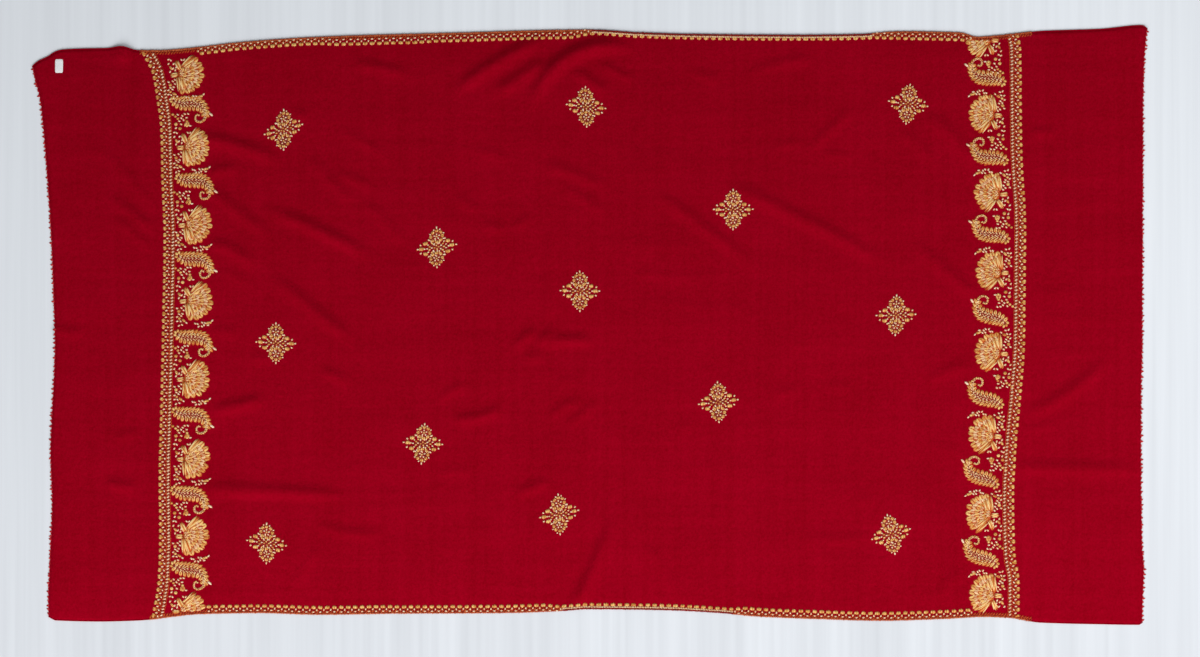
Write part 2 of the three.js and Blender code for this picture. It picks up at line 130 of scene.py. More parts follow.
# Ridges of the cloth: from one point to another, bowed to the left of its way, with its height at the
# middle and half of its width. The large creases come first, the slight ones after them.
CREASES = table(
    "from_x from_y to_x to_y bow height spread",
    (-735, 345, -556, 292, 8, 7, 15), (-705, 276, -640, 284, 2, 4, 12), (-720, 262, -575, 150, 2, 5.5, 14),
    (-705, 152, -608, 100, 10, 5.5, 13), (-603, 216, -388, 116, 5, 7.5, 14),
    (-588, 98, -420, -40, -3, 6.5, 14), (-702, -161, -585, -132, -2, 5.5, 14),
    (-740, -300, -418, -316, 3, 6.5, 15), (-512, -358, -370, -380, -12, 3.8, 11),
    (-492, -82, -438, -110, 1, 5, 11), (-259, 416, -72, 528, 7, 8, 15), (-114, 388, 94, 506, 50, 11.5, 17),
    (-182, 417, -70, 487, 0, 6, 14), (-34, 466, 34, 417, 3, 5.5, 11), (10, 477, 84, 443, 2, 4.2, 10),
    (-139, -46, -95, -8, 3, 5, 11), (-100, -36, -60, -8, 2, 4, 10), (-100, -34, 14, -33, 5, 6, 13),
    (-122, -58, -80, -60, 0, 3, 10), (-262, -172, -150, -144, -12, 4.6, 13),
    (-282, -142, -226, -106, 0, 3.2, 11), (-137, -313, -67, -286, 3, 4.5, 12),
    (-78, -176, -20, -138, 4, 3.5, 10), (-40, -190, 16, -142, 2, 3.2, 10),
    (-62, -104, -14, -106, 2, 1.6, 10), (-42, -540, 42, -350, -8, 9, 14), (112, 246, 306, 100, 3, 5.2, 14),
    (235, 262, 556, 104, 5, 6.2, 16), (396, 314, 484, 398, 0, 3.6, 11), (334, 326, 398, 331, 2, 2.4, 10),
    (424, 312, 482, 307, 0, 2.4, 10), (606, 392, 718, 274, 8, 4.4, 16), (800, 352, 860, 352, 0, 3.4, 11),
    (-696, -12, -640, -14, 0, 2.6, 10), (-622, -58, -580, -66, 0, 3.4, 10),
    (-284, -272, -206, -270, 2, 2, 10), (-546, -488, -490, -402, 2, 2, 10),
    (586, 156, 722, 40, -3, 4.6, 15), (610, -108, 699, -75, 6, 3.2, 14),
    (376, -392, 526, -387, -3, 2.4, 12), (780, -172, 958, -52, -14, 6, 15),
    (745, -260, 1030, -266, 0, 5.2, 15), (-892, 322, -796, 206, 3, 3.4, 11),
    (-884, 240, -792, 168, 0, 4.4, 11), (-870, 200, -794, 130, 0, 3.6, 11),
    (-888, -289, -824, -302, 0, 5, 12), (-856, 520, -852, 477, 0, 5, 22), (-988, -4, -926, -22, 0, 3.6, 11),
    (-76, 180, -74, -14, 0, 3, 9), (-684, 104, -618, 71, 2, 2, 12), (-516, 316, -426, 218, -6, 4.4, 12),
    (-474, 280, -390, 246, 3, 3.4, 11), (-416, 230, -340, 140, 4, 3.6, 11),
    (-456, 354, -362, 296, 4, 3, 11), (-550, 384, -508, 380, 0, 3, 11), (-440, 480, -326, 454, 2, 4.4, 12),
    (-100, 296, 46, 244, 4, 3.4, 12), (-58, 256, 34, 196, 3, 3, 11), (-246, 234, -200, 204, 0, 3.2, 10),
    (-198, 184, -150, 170, 0, 3, 10), (-146, 176, -104, 196, 0, 2.6, 10),
    (-210, 320, -146, 304, 0, 2.4, 10), (19, 349, 92, 247, 4, 1.2, 12), (48, 352, 110, 262, 4, 1.2, 12),
    (286, 460, 414, 488, 2, 3, 12), (188, 460, 240, 446, 0, 3, 10), (560, 366, 640, 286, 0, 3, 13),
    (804, 280, 950, 262, 4, 1, 13), (810, 244, 948, 226, -5, 1.1, 13), (802, 206, 948, 214, 5, 1.3, 12),
    (800, 56, 928, 50, 4, 1.4, 13), (806, 20, 930, 14, -4, 1.2, 12), (46, 146, 229, 140, 3, 1, 10),
    (52, 96, 226, 88, -3, 1, 10), (60, 40, 236, 30, 3, 0.9, 10), (-876, -209, -818, -196, 0, 2, 12),
    (326, -132, 383, -119, 0, 2, 12), (432, -108, 482, -116, 0, 2, 12), (161, -181, 187, -196, 0, 2, 12),
    (480, -322, 522, -322, 0, 2, 12), (785, -192, 858, -185, 0, 2, 12), (100, -396, 164, -502, 3, 2.4, 13),
    (418, -399, 432, -461, 0, 2, 12), (630, -506, 684, -446, 3, 2.8, 12),
    (613, -216, 683, -243, 3, 1.4, 11), (-164, 428, -110, 439, 0, 1.6, 11),
)
CALM = 30  # the ripples die out over this much towards the edges
CREASE_END = 0.3  # share of a crease's length over which it rises at each end
STEEP, GENTLE = 1.35, 1.25  # a crease's spread to its left and to its right, as shares of the table's
# Ripples that run over all of the cloth: height, length of the wave along X and Y, and its start.
RIPPLES = table(
    "height wave_x wave_y start",
    (0.5, 900, 133, 0.3), (0.35, -640, 71, 2.1), (0.22, 310, 43, 4.4), (0.4, 163, 520, 1.2),
    (0.2, 96, -330, 5.1), (0.16, -217, 29, 0.9),
)

# The disc column of each border, which its other columns follow.
LEFT_BORDER = table("x y", (-801, -549), (-799, -534), (-793, -505), (-788, -470), (-785, -388),
                    (-786, -291), (-782, -112), (-779, 31), (-777, 161), (-781, 265), (-783, 355),
                    (-790, 415), (-799, 464), (-805, 476), (-816, 496), (-822, 512))
RIGHT_BORDER = table("x y", (785, -552), (785, -469), (777, -417), (775, -317), (780, -216),
                     (788, -132), (795, -28), (796, 64), (797, 181), (790, 322), (788, 505), (784, 529),
                     (781, 548))

# The form of the cloth.


def curve_through(xs, ys):
    """A smooth curve through points: a cubic between each two, whose slope at a point is the harmonic
    mean of the slopes on both sides of it, or 0 at a peak."""
    chords = np.diff(ys) / np.diff(xs)
    before = np.append(chords[:1], chords)
    after = np.append(chords, chords[-1:])
    level = before * after <= 0
    slopes = np.where(level, 0, 2 * before * after / np.where(level, 1, before + after))

    def curve(x):
        i = np.clip(np.searchsorted(xs, x) - 1, 0, len(xs) - 2)
        step = xs[i + 1] - xs[i]
        t = np.clip((x - xs[i]) / step, 0, 1)
        rise = t * t * (3 - 2 * t)
        bend = slopes[i] * t * (1 - t) ** 2 - slopes[i + 1] * t * t * (1 - t)
        return ys[i] + (ys[i + 1] - ys[i]) * rise + step * bend

    return curve


far_edge = curve_through(FAR_EDGE["x"], FAR_EDGE["y"])
near_edge = curve_through(NEAR_EDGE["x"], NEAR_EDGE["y"])
left_end = curve_through(LEFT_END["y"], LEFT_END["x"])
right_end = curve_through(RIGHT_END["y"], RIGHT_END["x"])


def between(rows, key, share):
    """The value a share of the way from a column's first row to its last."""
    return rows[key][0] + (rows[key][-1] - rows[key][0]) * share


def lie(u, v):
    """Where a point of the plain rectangle lies: X goes from the left end to the right end by the
    share u / LENGTH, and Y from the near edge to the far edge by the share v / WIDTH."""
    along, across = u / LENGTH, v / WIDTH
    left = left_end(between(LEFT_END, "y", across))
    right = right_end(between(RIGHT_END, "y", across))
    near = near_edge(between(NEAR_EDGE, "x", along))
    far = far_edge(between(FAR_EDGE, "x", along))
    return left + (right - left) * along, near + (far - near) * across


def underside(x, y):
    """Height of the cloth's underside. A crease is a bell across its bowed line, 1 on the line and 0
    at its spread, steeper to the left than to the right, that rises and falls along it in two smooth
    steps. Ripples are sines, lifted to stay above the table, that die out towards the edges."""
    height = np.zeros(np.broadcast(x, y).shape)
    for from_x, from_y, to_x, to_y, bow, top, spread in zip(*CREASES.values()):
        dx, dy = to_x - from_x, to_y - from_y
        length = math.hypot(dx, dy)
        share = ((x - from_x) * dx + (y - from_y) * dy) / length**2
        aside = ((y - from_y) * dx - (x - from_x) * dy) / length - 4 * bow * share * (1 - share)
        reach = spread * np.where(aside > 0, STEEP, GENTLE)
        bell = 0.5 + 0.5 * np.cos(np.pi * np.clip(np.abs(aside) / reach, 0, 1))
        ends = np.clip(np.minimum(share, 1 - share) / CREASE_END, 0, 1)
        height += top * bell * ends * ends * (3 - 2 * ends)
    inside = np.minimum(np.minimum(x - left_end(y), right_end(y) - x),
                        np.minimum(far_edge(x) - y, y - near_edge(x)))
    calm = np.clip(inside / CALM, 0, 1)
    for top, wave_x, wave_y, start in zip(*RIPPLES.values()):
        height += calm * top * (0.5 + 0.5 * np.sin(2 * np.pi * (x / wave_x + y / wave_y) + start))
    return height


def face_up(x, y):
    """Height of the cloth's upper face."""
    return underside(x, y) + CLOTH


# Making meshes.


def grid_faces(rows, columns, round_rows=False):
    """Four-sided faces between the points of a grid whose columns are next to each other. With
    round_rows the last column is joined to the first."""
    row = np.arange(rows - 1)[:, None] * columns
    column = np.arange(columns if round_rows else columns - 1)[None, :]
    beside = (column + 1) % columns
    corners = [row + column, row + beside, row + columns + beside, row + columns + column]
    return stack(*np.broadcast_arrays(*corners)).reshape(-1, 4)


def make_piece(name, points, faces, finishes, finish_of=None, values=None):
    """A mesh object from points in millimetres, lists of faces, and values kept at its points."""
    mesh = bpy.data.meshes.new(name)
    lengths = join([np.full(len(part), part.shape[1]) for part in faces])
    corners = join([part.ravel() for part in faces])
    mesh.vertices.add(len(points))
    mesh.vertices.foreach_set("co", (np.asarray(points, float) * MM).ravel())
    mesh.loops.add(len(corners))
    mesh.loops.foreach_set("vertex_index", corners)
    mesh.polygons.add(len(lengths))
    mesh.polygons.foreach_set("loop_start", join([[0], np.cumsum(lengths)[:-1]]))
    mesh.polygons.foreach_set("loop_total", lengths)
    for finish in finishes:
        mesh.materials.append(finish)
    if finish_of is not None:
        mesh.polygons.foreach_set("material_index", finish_of)
    mesh.polygons.foreach_set("use_smooth", np.ones(len(lengths), bool))
    for key, value in (values or {}).items():
        mesh.attributes.new(key, "FLOAT", "POINT").data.foreach_set("value", value)
    mesh.update(calc_edges=True)
    mesh.validate()
    piece = bpy.data.objects.new(name, mesh)
    bpy.context.collection.objects.link(piece)
    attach(piece, "root")
    return piece


def dress(piece, slot, *nodes):
    """Hides the CAD nodes that a piece worked on the cloth stands for; the piece and its slot are not used.
    """
    if nodes:
        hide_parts(*nodes)


# Finishes.


class Socket:
    """One output of a shader node. Sums, differences and products of it add their Math nodes."""

    def __init__(self, finish, socket):
        self.finish = finish
        self.socket = socket

    def math(self, operation, first, second=0.0):
        return self.finish.node("Math", {"operation": operation}, {0: first, 1: second})

    def __add__(self, other):
        return self.math("ADD", self, other)

    def __sub__(self, other):
        return self.math("SUBTRACT", self, other)

    def __rsub__(self, other):
        return self.math("SUBTRACT", other, self)

    def __mul__(self, other):
        return self.math("MULTIPLY", self, other)

    __radd__ = __add__
    __rmul__ = __mul__

    def wave(self):
        return self.math("SINE", self)


class Finish:
    """A material with one Principled shader, whose fixed numbers are set on the shader's sockets."""

    def __init__(self, name, **fixed):
        self.material = bpy.data.materials.new(name)
        self.material.use_nodes = True
        self.tree = self.material.node_tree
        self.shader = self.tree.nodes["Principled BSDF"]
        for key, value in fixed.items():
            self.shader.inputs[key.replace("_", " ")].default_value = value

    def node(self, kind, settings, inputs, output=0):
        """Adds a node, its type named without ShaderNode: its settings first, then the values or
        links of its sockets."""
        made = self.tree.nodes.new("ShaderNode" + kind)
        for key, value in settings.items():
            setattr(made, key, value)
        for key, value in inputs.items():
            self.put(made.inputs[key], value)
        return Socket(self, made.outputs[output])

    def put(self, target, value):
        if isinstance(value, Socket):
            self.tree.links.new(value.socket, target)
        else:
            target.default_value = value

    def feed(self, key, value):
        self.put(self.shader.inputs[key], value)

    def places(self, scale):
        """Object coordinates, each times its own number."""
        found = self.node("TexCoord", {}, {}, "Object")
        return self.node("VectorMath", {"operation": "MULTIPLY"}, {0: found, 1: scale})

    def along(self, axis, scale):
        """One axis of the scaled coordinates, as a value."""
        return self.node("SeparateXYZ", {}, {"Vector": self.places(scale)}, axis)

    def noise(self, scale, detail=2.0):
        """Cloudy values about 0.5, in cells of 1 / scale metres along each axis."""
        inputs = {"Vector": self.places(scale), "Scale": 1.0, "Detail": detail}
        return self.node("TexNoise", {}, inputs)

    def kept(self, name):
        """A value kept at the mesh's own points."""
        return self.node("Attribute", {"attribute_name": name}, {}, "Fac")

    def mix(self, share, first, second):
        """Goes from the first colour to the second by a share."""
        settings = {"data_type": "RGBA", "clamp_factor": True}
        return self.node("Mix", settings, {0: share, 6: first, 7: second}, 2)

    def relief(self, height, distance):
        """Bumps of a height from 0 to 1, a distance in metres tall."""
        return self.node("Bump", {}, {"Height": height, "Distance": distance, "Strength": 1.0})


YARN = 0.9  # millimetres between two yarns of the cloth
STRAND = 0.5  # and between two strands of an embroidery thread


def wool(name, deep, light):
    """Plain-woven wool. Its colour goes between two reds with soft clouds, long faint streaks along
    both sets of yarns, and the felt's own tone. Its relief is the product of two sines, one along
    each set of yarns, with the nap and two sizes of unevenness."""
    finish = Finish(name, Roughness=0.92, Specular_IOR_Level=0.01)
    finish.shader.inputs["Sheen Weight"].default_value = 0.04
    finish.shader.inputs["Sheen Roughness"].default_value = 0.6
    finish.shader.inputs["Sheen Tint"].default_value = srgb(190, 0, 50)
    streaks = finish.noise((75, 1.3, 1)) * 0.5 + finish.noise((1.6, 90, 1)) * 0.35
    clouds = finish.noise((7, 9, 1)) * 0.5
    nap = finish.noise((900, 700, 900), 3.0)
    felt = finish.noise((280, 210, 280), 3.0)
    tone = streaks + clouds + nap * 0.7 + felt * 1.3 - 1.2
    finish.feed("Base Color", finish.mix(tone, deep, light))
    turns = 2 * math.pi / (YARN * MM)
    scale = (turns, turns, 1)
    weave = finish.along("X", scale).wave() * finish.along("Y", scale).wave() * 0.25
    lumps = finish.noise((130, 190, 160)) * 1.8
    dents = finish.noise((42, 60, 50)) * 2.2
    finish.feed("Normal", finish.relief(weave + nap * 0.6 + lumps + dents, 0.0004))
    return finish.material


def thread(name, colour, shade, gloss=0.5):
    """Embroidery thread: each stitch has its own tone between two colours, and fine strands run
    along it."""
    finish = Finish(f"{name}_thread", Roughness=gloss, Specular_IOR_Level=0.2)
    tone = finish.kept("tone") + finish.noise((260, 260, 260)) * 0.4 - 0.2
    finish.feed("Base Color", finish.mix(tone, srgb(*shade), srgb(*colour)))
    strands = (finish.kept("across") * (2 * math.pi / STRAND)).wave()
    finish.feed("Normal", finish.relief(strands * 0.5 + finish.noise((1500, 1500, 1500)) * 0.6, 0.00018))
    return finish.material


RED_WOOL = wool("red_wool", srgb(132, 0, 16), srgb(160, 1, 30))
THREADS = {colours[0]: thread(*colours) for colours in (
    ("gold", (255, 214, 134), (208, 128, 48)),
    ("ochre", (224, 158, 52), (160, 96, 20)),
    ("peach", (255, 220, 170), (208, 134, 82)),
    ("straw", (255, 232, 172), (252, 206, 134)),
    ("rose", (232, 158, 116), (178, 96, 64)),
    ("cream", (255, 234, 200), (252, 204, 160)),
    ("rust", (216, 98, 30), (166, 56, 10)),
    ("brown", (164, 32, 18), (126, 10, 12)),
    ("tan", (220, 120, 68), (166, 62, 22)),
    ("red_edge", (214, 62, 58), (172, 24, 38), 0.8),
)}
THREAD_NAMES = list(THREADS)

# Stitches.

SINK = 0.25  # how far a stitch's rim goes into the cloth
RIM = 6  # corners round a stitch
RING = (0.74, 0.7)  # where its second ring is: share of its size, share of its height
STRAY, STRAY_TURN = 0.22, 5  # how far stitches stray, in millimetres and in degrees


def stitches(x, y, angle, length, width, height, name):
    """One row for each stitch: its middle, its direction in degrees, its three sizes, its thread."""
    columns = (x, y, angle, length, width, height, THREAD_NAMES.index(name))
    return stack(*np.broadcast_arrays(*[np.atleast_1d(np.asarray(c, float)) for c in columns]))


def carried(points, x, y, side_turn=0.0, upright_turn=None):
    """Points whose own x is turned by one number of degrees and their own y by another, which is the
    same unless the motif is pulled askew, and then carried to x, y."""
    side = math.radians(side_turn)
    upright = side if upright_turn is None else math.radians(upright_turn)
    return stack(x + points[:, 0] * math.cos(side) - points[:, 1] * math.sin(upright),
                 y + points[:, 0] * math.sin(side) + points[:, 1] * math.cos(upright))


def moved(rows, x, y, side_turn=0.0, upright_turn=None):
    """Stitches carried as points are, each turned by the mean of the two turns."""
    out = rows.copy()
    out[:, :2] = carried(rows[:, :2], x, y, side_turn, upright_turn)
    out[:, 2] += side_turn if upright_turn is None else (side_turn + upright_turn) / 2
    return out


def discs(x, y, angle, length, width, height, name):
    """Satin discs or ovals: four long stitches side by side, each as long as the oval is there."""
    share = np.array([-0.7, -0.24, 0.24, 0.7])
    x, y, angle = (column[..., None] for column in np.broadcast_arrays(*np.atleast_1d(x, y, angle)))
    aside = share * width / 2
    reach = length * np.sqrt(1 - (0.85 * share) ** 2)
    x, y, angle, reach = np.broadcast_arrays(x - aside * np.sin(np.radians(angle)),
                                             y + aside * np.cos(np.radians(angle)), angle, reach)
    return stitches(x.ravel(), y.ravel(), angle.ravel(), reach.ravel(), width * 0.36, height, name)


def run(path, pitch, length, width, height, name, aside=0.0, tilt=0.0, start=0.5):
    """Stitches at equal steps along a path, turned with it by a tilt and set aside to its left."""
    path = np.asarray(path, float)
    reach = np.append(0, np.cumsum(np.hypot(*np.diff(path, axis=0).T)))
    count = max(1, round(reach[-1] / pitch))
    at = (np.arange(count) + start) * reach[-1] / count
    x, y = (np.interp(at, reach, path[:, k]) for k in (0, 1))
    ahead = [np.interp(at + 1, reach, path[:, k]) - np.interp(at - 1, reach, path[:, k]) for k in (0, 1)]
    angle = np.arctan2(ahead[1], ahead[0])
    return stitches(x - aside * np.sin(angle), y + aside * np.cos(angle), np.degrees(angle) + tilt,
                    length, width, height, name)


def disc_run(path, pitch, length, width, height, name, aside=0.0, tilt=0.0, start=0.5):
    """Discs at equal steps along a path."""
    middles = run(path, pitch, 1, 1, 1, name, aside, tilt, start)
    return discs(middles[:, 0], middles[:, 1], middles[:, 2], length, width, height, name)


def on_the_cloth(rows, margin):
    """Those stitches whose middle is inside both long edges by a margin."""
    x, y = rows[:, 0], rows[:, 1]
    return rows[(y < far_edge(x) - margin) & (y > near_edge(x) + margin)]


def embroider(name, rows, ground=face_up):
    """One mesh of many stitches. Each is a dome: a rim of six corners in the cloth, a ring at RING,
    and a top, its height added to the ground's own height below every corner, and a back that follows
    the ground too. Every stitch strays a little, as hand work does."""
    rows = rows.copy()
    rows[:, :2] += rng.normal(0, STRAY, (len(rows), 2))
    rows[:, 2] += rng.normal(0, STRAY_TURN, len(rows))
    round_angle = np.arange(RIM) * 2 * np.pi / RIM
    rim = stack(np.cos(round_angle) / 2, np.sin(round_angle) / 2, np.zeros(RIM))
    ring = rim * (RING[0], RING[0], 0) + (0, 0, RING[1])
    shape = join([rim, ring, [(0, 0, 1), (0, 0, 0)]])
    x, y, angle, length, width, height, kind = (column[:, None] for column in rows.T)
    angle = np.radians(angle)
    along, across = shape[:, 0] * length, shape[:, 1] * width
    px = x + along * np.cos(angle) - across * np.sin(angle)
    py = y + along * np.sin(angle) + across * np.cos(angle)
    pz = ground(px, py) - SINK + shape[:, 2] * (height + SINK)
    first = np.arange(len(rows))[:, None, None] * len(shape)
    k = np.arange(RIM)
    beside = (k + 1) % RIM
    sides = stack(k, beside, beside + RIM, k + RIM)
    caps = stack(k + RIM, beside + RIM, np.full(RIM, 2 * RIM))
    back = stack(beside, k, np.full(RIM, 2 * RIM + 1))
    faces = [(first + part).reshape(-1, part.shape[1]) for part in (sides, caps, back)]
    finish_of = np.tile(np.repeat(kind[:, 0].astype(int), RIM), len(faces))
    tone = np.repeat(rng.uniform(0.1, 0.9, len(rows)), len(shape))
    return make_piece(name, stack(px, py, pz).reshape(-1, 3), faces, list(THREADS.values()),
                      finish_of, {"tone": tone, "across": across.ravel()})


def scales(x, y, angle, length, width, height, name, vein):
    """Petals like scales: a rust rim below, painted shade round each, two satin sides that meet at the tip,
    and a thin vein.
    """
    x, y, angle, length, width = np.broadcast_arrays(*np.atleast_1d(x, y, angle, length, width))
    way = np.radians(angle)
    # The rust rim under each petal is painted shade in the gaps between rows.
    parts = [stitches(x, y, angle, length + 2.2, width + 1.8, height - 0.4, "rust")]
    for side in (1, -1):
        aside = side * width * 0.23
        parts.append(stitches(x - aside * np.sin(way), y + aside * np.cos(way), angle - 12 * side,
                              length, width * 0.56, height, name))
    parts.append(stitches(x, y, angle, length * 0.6, width * 0.2, height + 0.35, vein))
    return join(parts)


# A leaf's stitches: the middle as a share of its length, how far aside as a share of its width, the
# turn in degrees, the shares of its length and width, how much higher, and the thread.
LEAF_STITCHES = (
    # The first, wide rust stitch below the rest is partly the leaf's outline and partly painted shade round
    # it.
    (0.5, 0, 0, 1.03, 1.42, -0.3, "rust"), (0.48, 0.36, 4, 0.84, 0.32, 0, "straw"),
    (0.48, -0.36, -4, 0.84, 0.32, 0, "straw"), (0.5, 0.14, 0, 0.96, 0.42, 0, "gold"),
    (0.5, -0.14, 0, 0.96, 0.42, 0, "gold"), (0.5, 0, 0, 0.66, 0.15, 0.2, "rust"),
)


def leaf(from_x, from_y, to_x, to_y, width, height=2.4):
    """A long leaf: a thin rust rim, partly its outline and partly painted shade, four pale strands side by
    side, the outer ones shorter, a vein.
    """
    length, turn = math.hypot(to_x - from_x, to_y - from_y), math.atan2(to_y - from_y, to_x - from_x)
    rows = [stitches(length * middle, width * aside, tilt, length * long, width * wide, height + more, name)
            for middle, aside, tilt, long, wide, more, name in LEAF_STITCHES]
    return moved(join(rows), from_x, from_y, math.degrees(turn))


def patch(outline, middle, height):
    """Low padding under a motif: rings of its back from the middle to its outline, sunk in the cloth,
    then rings of its face from there to the middle, whose height above the cloth is height times 1
    minus the fourth power of the share of the way out."""
    outline = np.asarray(outline, float)
    shares = np.array([0.06, 0.5, 0.8, 0.94, 1, 0.94, 0.8, 0.5, 0.06])
    flat = middle + (outline - middle) * shares[:, None, None]
    x, y = flat[..., 0], flat[..., 1]
    is_face = np.arange(len(shares)) > np.argmax(shares)
    z = face_up(x, y) + np.where(is_face, height * (1 - shares**4), -SINK)[:, None]
    n = len(outline)
    faces = [grid_faces(len(shares), n, True), (len(shares) - 1) * n + np.arange(n)[None, :],
             np.arange(n)[None, ::-1]]
    return stack(x, y, z).reshape(-1, 3), faces


def join_patches(name, parts, finish):
    """Several patches as one mesh."""
    points, sizes = [], {}
    start = 0
    for some, faces in parts:
        points.append(some)
        for part in faces:
            sizes.setdefault(part.shape[1], []).append(part + start)
        start += len(some)
    together = join(points)
    faces = [join(group) for group in sizes.values()]
    tone = np.full(len(together), 0.5)
    return make_piece(name, together, faces, [finish], None, {"tone": tone, "across": together[:, 0]})


# The cloth and its hems.

SHEET_PITCH = 7  # between two points of the cloth
INSET = 1.2  # the cloth ends this far inside the hem's outer side

columns = round(LENGTH / SHEET_PITCH)
rows_across = round(WIDTH / SHEET_PITCH)
sheet_u, sheet_v = np.meshgrid(np.linspace(INSET, LENGTH - INSET, columns),
                               np.linspace(INSET, WIDTH - INSET, rows_across))
sheet_x, sheet_y = lie(sheet_u, sheet_v)
low = underside(sheet_x, sheet_y)
upper = stack(sheet_x, sheet_y, low + CLOTH).reshape(-1, 3)
lower = stack(sheet_x, sheet_y, low).reshape(-1, 3)
index = np.arange(upper.shape[0]).reshape(sheet_x.shape)
rim_index = join([index[0, :], index[1:, -1], index[-1, -2::-1], index[-2:0:-1, 0]])
next_index = np.roll(rim_index, -1)
walls = stack(rim_index + upper.shape[0], next_index + upper.shape[0], next_index, rim_index)
top_faces = grid_faces(*sheet_x.shape)
sheet = make_piece("shawl_sheet", join([upper, lower]),
                   [top_faces, top_faces[:, ::-1] + upper.shape[0], walls], [RED_WOOL])
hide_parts("shawl_cloth")

ROLL = 1.1  # radius of a rolled hem
END_ROLL = 0.8  # radius of the edge of a short end
ROLL_SIDES = 8
PRESSED = 1.1  # how much wider than high a hem's section is
ROLL_IN = 0.2  # and how far inside the edge it starts


def roll(name, u, v, inward, radius, node, finish, slot, scallop=0.0):
    """A hem as a pressed round section carried along one edge, just inside it, that rests on the
    underside's height. The scallop is how far each section is moved out."""
    x, y = lie(u, v)
    turn = np.arange(ROLL_SIDES) * 2 * np.pi / ROLL_SIDES
    out = radius * PRESSED * np.cos(turn) + (radius * PRESSED + ROLL_IN - scallop)
    px = x[:, None] + inward[0] * out
    py = y[:, None] + inward[1] * out
    pz = underside(px, py) + radius * (1 + np.sin(turn))[None, :]
    faces = [grid_faces(len(u), ROLL_SIDES, True), np.arange(ROLL_SIDES)[None, :],
             (len(u) - 1) * ROLL_SIDES + np.arange(ROLL_SIDES)[None, ::-1]]
    if inward[0] - inward[1] > 0:
        faces = [part[:, ::-1] for part in faces]
    points = stack(px, py, pz).reshape(-1, 3)
    dress(make_piece(name, points, faces, [finish]), slot, node)


EDGE_STEP = 6
LOOP_PITCH = 9  # between two of the tiny loops of a short end
LOOP_OUT = 2  # how far a loop stands out from the dip beside it
LOOP_DRIFT, DRIFT_WAVE = 0.8, 47  # the loops crowd and spread by a sine of this size and length
long_u = np.linspace(0, LENGTH, round(LENGTH / EDGE_STEP))
end_v = np.linspace(1, WIDTH - 1, round(WIDTH / LOOP_PITCH) * 6 + 1)
drift = LOOP_DRIFT * np.sin(end_v / DRIFT_WAVE)
loops = LOOP_OUT * np.abs(np.sin(np.pi * end_v / LOOP_PITCH + drift))[:, None] - 1
yarn = THREADS["red_edge"]
roll("far_hem_roll", long_u, 0 * long_u + WIDTH, (0, -1), ROLL, "hem_far", RED_WOOL, "edge_thread")
roll("near_hem_roll", long_u, 0 * long_u, (0, 1), ROLL, "hem_near", RED_WOOL, "edge_thread")
roll("left_end_loops", 0 * end_v, end_v, (1, 0), END_ROLL, "hem_left_end", yarn, "red_wool", loops)
roll("right_end_loops", 0 * end_v + LENGTH, end_v, (-1, 0), END_ROLL, "hem_right_end", yarn, "red_wool",
     loops)

TUFT_PITCH, TUFT_WIDTH, TUFT_HEIGHT = 8.4, 4.4, 1.4  # of the tufts that stand out of an end
TUFT_LENGTH = (5, 12)  # the shortest and the longest
TUFT_STRAY, TUFT_TURN = 1.2, 14  # how far they stray, in millimetres and in degrees


def tufts(line, y, inward, name):
    """Short loops of the cloth's own yarn that stand out of an end, each its own length."""
    path = stack(line(y), y)[::inward]
    rows = run(path, TUFT_PITCH, 1, TUFT_WIDTH, TUFT_HEIGHT, "red_edge", -1, 90)
    rows[:, 3] = rng.uniform(*TUFT_LENGTH, len(rows))
    rows[:, 1] += rng.normal(0, TUFT_STRAY, len(rows))
    rows[:, 2] += rng.normal(0, TUFT_TURN, len(rows))
    dress(embroider(f"{name}_end_tufts", rows, lambda x, y: underside(x, y) + SINK), "red_wool")


tufts(left_end, np.linspace(-533, 472, 300), 1, "left")
tufts(right_end, np.linspace(-544, 541, 300), -1, "right")

# The borders.

# The pitch of each border's discs, and how far they stand inwards of its table's line.
BORDER_PITCH = {"left": 11.95, "right": 12.5}
BORDER_SHIFT = {"left": 0, "right": 1.6}


def along_border(border, inward, name):
    """All the columns of a border, from the discs to the braid, each its own way inwards."""
    column = curve_through(border["y"], border["x"])
    y = np.linspace(border["y"][0], border["y"][-1], 400)
    path = stack(column(y), y)[::inward]
    pitch, shift = BORDER_PITCH[name], BORDER_SHIFT[name]

    def column_of(step, length, width, height, thread_name, inwards, tilt=0.0, start=0.5):
        return run(path, step, length, width, height, thread_name, -shift - inwards, tilt, start)

    dots = join([
        # The wide brown stitch under each disc is painted shadow round it.
        column_of(pitch, 9.4, 8.4, 0.5, "brown", 0.8, 90),
        column_of(pitch, 6.4, 3.2, 1.1, "ochre", 3.0, 104),
        disc_run(path, pitch, 7.2, 7.4, 1.5, "gold", -shift, 90),
    ])
    seeds = join([
        column_of(pitch / 2, 9, 2.0, 0.55, "rust", 5.2, 62),
        column_of(pitch / 2, 9, 2.0, 0.55, "brown", 5.6, 118),
        column_of(pitch / 2, 7.5, 2.2, 0.8, "rust", 10.4, 58),
        column_of(pitch / 2, 7.5, 1.9, 0.8, "brown", 10.4, 124, 0.8),
        column_of(pitch, 5.6, 3.3, 1.6, "cream", 4.6, -78, 1),
        column_of(pitch, 5.4, 3, 1.6, "cream", 8.2, -138),
    ])
    braid = join([
        column_of(5, 6.6, 6.6, 0.4, "brown", 15),
        column_of(4.4, 5.4, 1.7, 0.9, "rust", 11.8),
        column_of(4.4, 5.4, 1.7, 0.9, "rust", 18.5),
        column_of(pitch / 2, 6.6, 3.1, 1.5, "cream", 15, -68),
        column_of(pitch / 2, 4.6, 1.6, 1.7, "rose", 15.4, -118, 0.9),
    ])
    for rows, kind, slot in ((dots, "disc", "gold_thread"), (seeds, "seed", "cream_thread"),
                             (braid, "braid", "cream_thread")):
        dress(embroider(f"{name}_{kind}_column", on_the_cloth(rows, 4)), slot, f"{kind}_row_{name}")


along_border(LEFT_BORDER, 1, "left")
along_border(RIGHT_BORDER, -1, "right")

